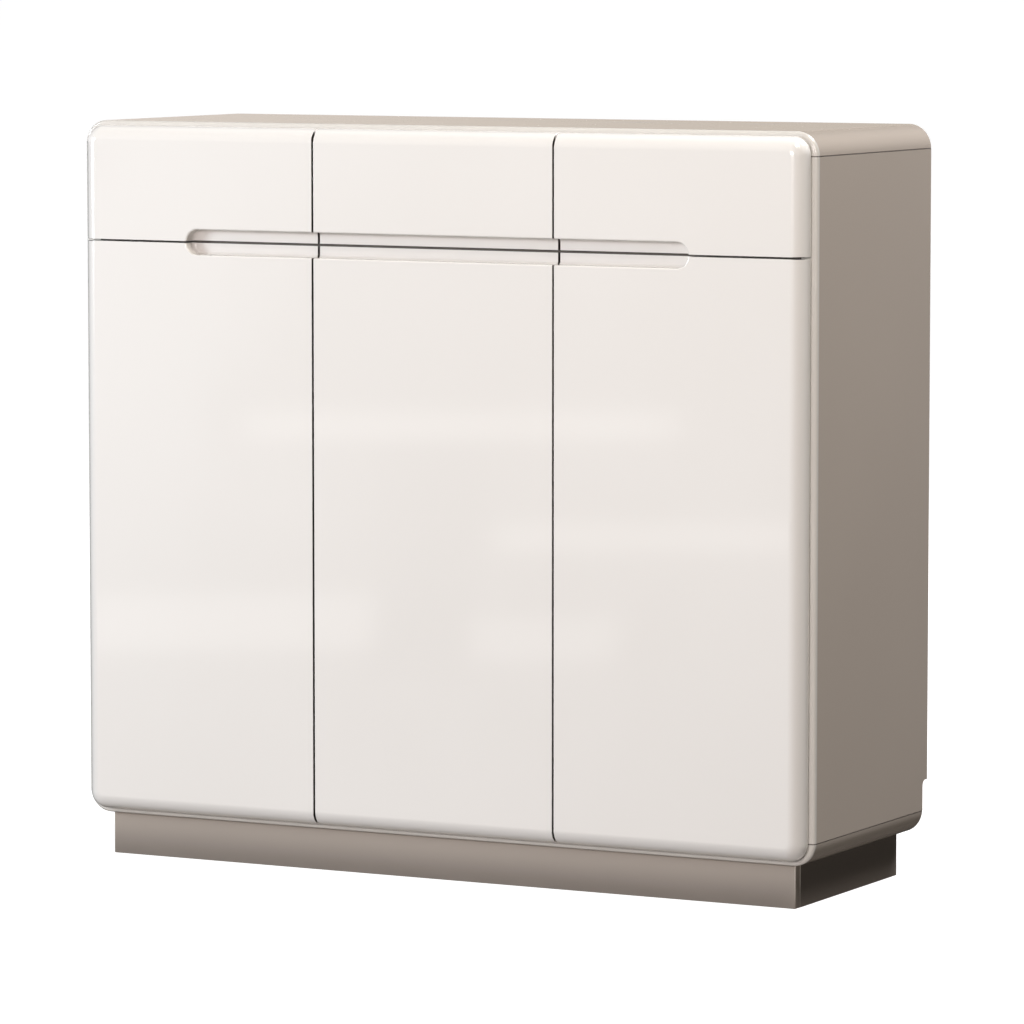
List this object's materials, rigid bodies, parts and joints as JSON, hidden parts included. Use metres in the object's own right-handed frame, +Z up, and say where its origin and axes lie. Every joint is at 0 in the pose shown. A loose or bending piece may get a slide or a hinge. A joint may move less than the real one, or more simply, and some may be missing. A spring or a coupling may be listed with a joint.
{
  "type": "sideboard buffet",
  "caption": "High-gloss sideboard with rolled carcass corners, drawers over doors, one long finger recess across the fronts, and a set-back plinth.",
  "frame": {"origin": "floor level, centre of the overall width and depth (fronts included)", "axes": "+X to the right as seen from the front, +Y to the back, +Z up"},
  "size_m": [1.2, 0.4166, 1.1],
  "materials": {
    "front_lacquer": "high-gloss warm white lacquer on fibreboard",
    "carcass_lacquer": "high-gloss taupe lacquer on fibreboard",
    "edge_lacquer": "gloss off-white lacquered edge moulding",
    "plinth_lacquer": "satin taupe lacquer on fibreboard",
    "interior_board": "matt warm white melamine on chipboard",
    "back_board": "matt painted thin fibreboard",
    "drawer_board": "matt foil-wrapped drawer board",
    "plated_steel": "zinc-plated pressed steel",
    "cast_zinc": "dull cast zinc",
    "soft_rubber": "translucent soft bumper dots"
  },
  "bodies": {
    "carcass": {"top_board": "carcass_lacquer", "bottom_board": "carcass_lacquer", "side_left": "carcass_lacquer", "side_right": "carcass_lacquer", "lipping_top": "edge_lacquer", "lipping_bottom": "edge_lacquer", "lipping_left": "edge_lacquer", "lipping_right": "edge_lacquer", "plinth_front": "plinth_lacquer", "plinth_back": "plinth_lacquer", "plinth_left": "plinth_lacquer", "plinth_right": "plinth_lacquer", "partition_left": "interior_board", "partition_right": "interior_board", "deck_left": "interior_board", "deck_middle": "interior_board", "deck_right": "interior_board", "shelf_lower_left": "interior_board", "shelf_upper_left": "interior_board", "shelf_lower_middle": "interior_board", "shelf_upper_middle": "interior_board", "shelf_lower_right": "interior_board", "shelf_upper_right": "interior_board", "back_left": "back_board", "back_middle": "back_board", "back_right": "back_board", "shelf_pins": "plated_steel", "hinge_mounts_left": "plated_steel", "runner_cabinet_left": "plated_steel", "hinge_mounts_middle": "plated_steel", "runner_cabinet_middle": "plated_steel", "hinge_mounts_right": "plated_steel", "runner_cabinet_right": "plated_steel", "cam_fasteners": "cast_zinc", "bumpers": "soft_rubber"},
    "door_left": {"door_left": "front_lacquer", "hinge_cups_left": "plated_steel"},
    "drawer_left": {"drawer_front_left": "front_lacquer", "drawer_sides_left": "drawer_board", "drawer_back_left": "drawer_board", "drawer_bottom_left": "drawer_board", "runner_drawer_left": "plated_steel"},
    "runner_left": {"runner_middle_left": "plated_steel"},
    "door_middle": {"door_middle": "front_lacquer", "hinge_cups_middle": "plated_steel"},
    "drawer_middle": {"drawer_front_middle": "front_lacquer", "drawer_sides_middle": "drawer_board", "drawer_back_middle": "drawer_board", "drawer_bottom_middle": "drawer_board", "runner_drawer_middle": "plated_steel"},
    "runner_middle": {"runner_middle_middle": "plated_steel"},
    "door_right": {"door_right": "front_lacquer", "hinge_cups_right": "plated_steel"},
    "drawer_right": {"drawer_front_right": "front_lacquer", "drawer_sides_right": "drawer_board", "drawer_back_right": "drawer_board", "drawer_bottom_right": "drawer_board", "runner_drawer_right": "plated_steel"},
    "runner_right": {"runner_middle_right": "plated_steel"}
  },
  "joints": [
    {"name": "door_left_swing", "type": "hinge", "parent": "carcass", "child": "door_left", "pos_m": [-0.5825, -0.20225, 0.4963], "axis": [0, 0, -1], "range_deg": [0, 105]},
    {"name": "drawer_left_slide", "type": "slide", "parent": "carcass", "child": "drawer_left", "axis": [0, -1, 0], "range_m": [0, 0.35]},
    {"name": "runner_left_slide", "type": "slide", "parent": "carcass", "child": "runner_left", "axis": [0, -1, 0], "range_m": [0, 0.175]},
    {"name": "door_middle_swing", "type": "hinge", "parent": "carcass", "child": "door_middle", "pos_m": [-0.18787, -0.20225, 0.4963], "axis": [0, 0, -1], "range_deg": [0, 105]},
    {"name": "drawer_middle_slide", "type": "slide", "parent": "carcass", "child": "drawer_middle", "axis": [0, -1, 0], "range_m": [0, 0.35]},
    {"name": "runner_middle_slide", "type": "slide", "parent": "carcass", "child": "runner_middle", "axis": [0, -1, 0], "range_m": [0, 0.175]},
    {"name": "door_right_swing", "type": "hinge", "parent": "carcass", "child": "door_right", "pos_m": [0.5825, -0.20225, 0.4963], "axis": [0, 0, 1], "range_deg": [0, 105]},
    {"name": "drawer_right_slide", "type": "slide", "parent": "carcass", "child": "drawer_right", "axis": [0, -1, 0], "range_m": [0, 0.35]},
    {"name": "runner_right_slide", "type": "slide", "parent": "carcass", "child": "runner_right", "axis": [0, -1, 0], "range_m": [0, 0.175]}
  ],
  "couplings": [
    {"joint": "runner_left_slide", "follows": "drawer_left_slide", "ratio": 0.5},
    {"joint": "runner_middle_slide", "follows": "drawer_middle_slide", "ratio": 0.5},
    {"joint": "runner_right_slide", "follows": "drawer_right_slide", "ratio": 0.5}
  ]
}
